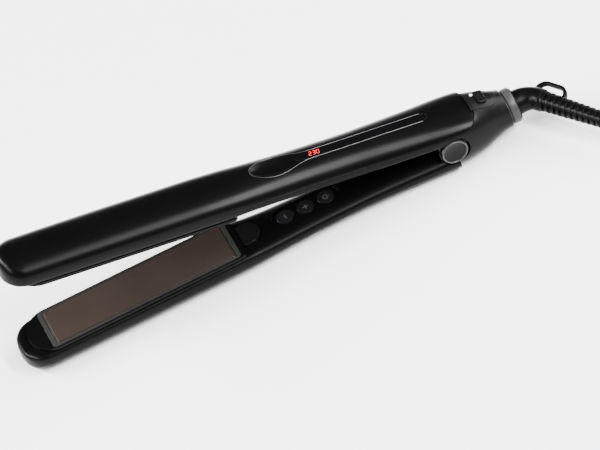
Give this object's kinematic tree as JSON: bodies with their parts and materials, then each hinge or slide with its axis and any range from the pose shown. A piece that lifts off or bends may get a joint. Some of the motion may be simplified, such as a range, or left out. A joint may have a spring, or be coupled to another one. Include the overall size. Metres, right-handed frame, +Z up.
{
  "type": "hair straightener",
  "caption": "Hand-held hair straightener with hinged arms, floating heated plates, buttons, a lit display, a lock slider and a cord on a swivel.",
  "frame": {"origin": "middle of the iron's footprint, on the surface that the lower arm lies on", "axes": "+X along the lower arm towards the cord end, +Y across the arms to the far side of the hinge, +Z up"},
  "size_m": [0.518, 0.078, 0.0768],
  "materials": {
    "gloss_black": "high gloss black",
    "frame_black": "satin black",
    "gasket_grey": "satin grey silicone",
    "pad_black": "matt black",
    "plate_coat": "satin taupe ceramic coating",
    "heater_ceramic": "matt",
    "sensor_amber": "matt",
    "steel": "brushed",
    "button_grey": "satin dark grey",
    "part_black": "matt",
    "board_green": "satin",
    "lead_red": "satin insulation",
    "housing_grey": "fine satin dark grey",
    "cap_grey": "satin grey",
    "collar_grey": "satin mid grey",
    "barrel_black": "satin black",
    "brass": "polished",
    "window_smoke": "polished dark smoke",
    "digits_red": "lit red segments",
    "relief_black": "satin black",
    "cord_black": "satin black jacket",
    "tie_grey": "matt",
    "plug_black": "satin black",
    "pin_nickel": "nickel plated"
  },
  "bodies": {
    "base": {"lower_shell": "gloss_black", "lower_cover": "gloss_black", "lower_frame": "frame_black", "lower_gasket": "gasket_grey", "lower_pad": "pad_black", "lower_screws": "steel", "lower_springs": "steel", "control_bezel": "frame_black", "button_switches": "part_black", "control_board": "board_green", "board_parts": "part_black", "power_leads": "lead_red", "hinge_pin": "steel", "hinge_cap_near": "cap_grey", "hinge_cap_far": "cap_grey", "hinge_spring": "steel", "rear_housing": "housing_grey", "lock_plate": "housing_grey", "swivel_collar": "collar_grey", "collar_lip": "housing_grey", "contact_block": "part_black", "contact_brushes": "brass"},
    "upper_arm": {"upper_shell": "gloss_black", "display_window": "window_smoke", "upper_cover": "gloss_black", "upper_frame": "frame_black", "upper_gasket": "gasket_grey", "upper_pad": "pad_black", "upper_screws": "steel", "upper_springs": "steel", "display_board": "board_green", "display_digits": "digits_red", "lock_catch": "part_black"},
    "lower_floating_plate": {"lower_plate": "plate_coat", "lower_heater": "heater_ceramic", "lower_sensor": "sensor_amber", "thermal_fuse": "steel"},
    "upper_floating_plate": {"upper_plate": "plate_coat", "upper_heater": "heater_ceramic", "upper_sensor": "sensor_amber"},
    "minus_key": {"minus_button": "button_grey"},
    "plus_key": {"plus_button": "button_grey"},
    "power_key": {"power_button": "button_grey"},
    "lock": {"lock_slider": "housing_grey"},
    "swivel": {"swivel_barrel": "barrel_black", "slip_rings": "brass", "strain_relief": "relief_black", "hanging_loop": "relief_black", "cord_lead": "cord_black", "cord_hank": "cord_black", "cord_tail": "cord_black", "hank_tie": "tie_grey", "plug_body": "plug_black", "plug_pins": "pin_nickel"}
  },
  "joints": [
    {"name": "arm_hinge", "type": "hinge", "parent": "base", "child": "upper_arm", "pos_m": [0.1, 0, 0.0164], "axis": [0, -1, 0], "range_deg": [0, 11], "stiffness_Nm_per_rad": 1.5, "springref_deg": -20.05, "deforming": ["hinge_spring"]},
    {"name": "lower_plate_slide", "type": "slide", "parent": "base", "child": "lower_floating_plate", "axis": [0, 0, -1], "range_m": [0, 0.0008], "stiffness_N_per_m": 3000, "springref_m": -0.001, "deforming": ["lower_springs"]},
    {"name": "upper_plate_slide", "type": "slide", "parent": "upper_arm", "child": "upper_floating_plate", "axis": [0.1908, 0, 0.9816], "range_m": [0, 0.0008], "stiffness_N_per_m": 3000, "springref_m": -0.001, "deforming": ["upper_springs"]},
    {"name": "minus_press", "type": "slide", "parent": "base", "child": "minus_key", "axis": [0, 0, -1], "range_m": [0, 0.0008], "stiffness_N_per_m": 1500, "springref_m": -0.0005},
    {"name": "plus_press", "type": "slide", "parent": "base", "child": "plus_key", "axis": [0, 0, -1], "range_m": [0, 0.0008], "stiffness_N_per_m": 1500, "springref_m": -0.0005},
    {"name": "power_press", "type": "slide", "parent": "base", "child": "power_key", "axis": [0, 0, -1], "range_m": [0, 0.0008], "stiffness_N_per_m": 1500, "springref_m": -0.0005},
    {"name": "lock_slide", "type": "slide", "parent": "base", "child": "lock", "axis": [0.9563, 0, -0.2924], "range_m": [0, 0.003]},
    {"name": "cord_turn", "type": "hinge", "parent": "base", "child": "swivel", "pos_m": [0.13, 0, 0.0135], "axis": [1, 0, 0], "continuous": true}
  ]
}
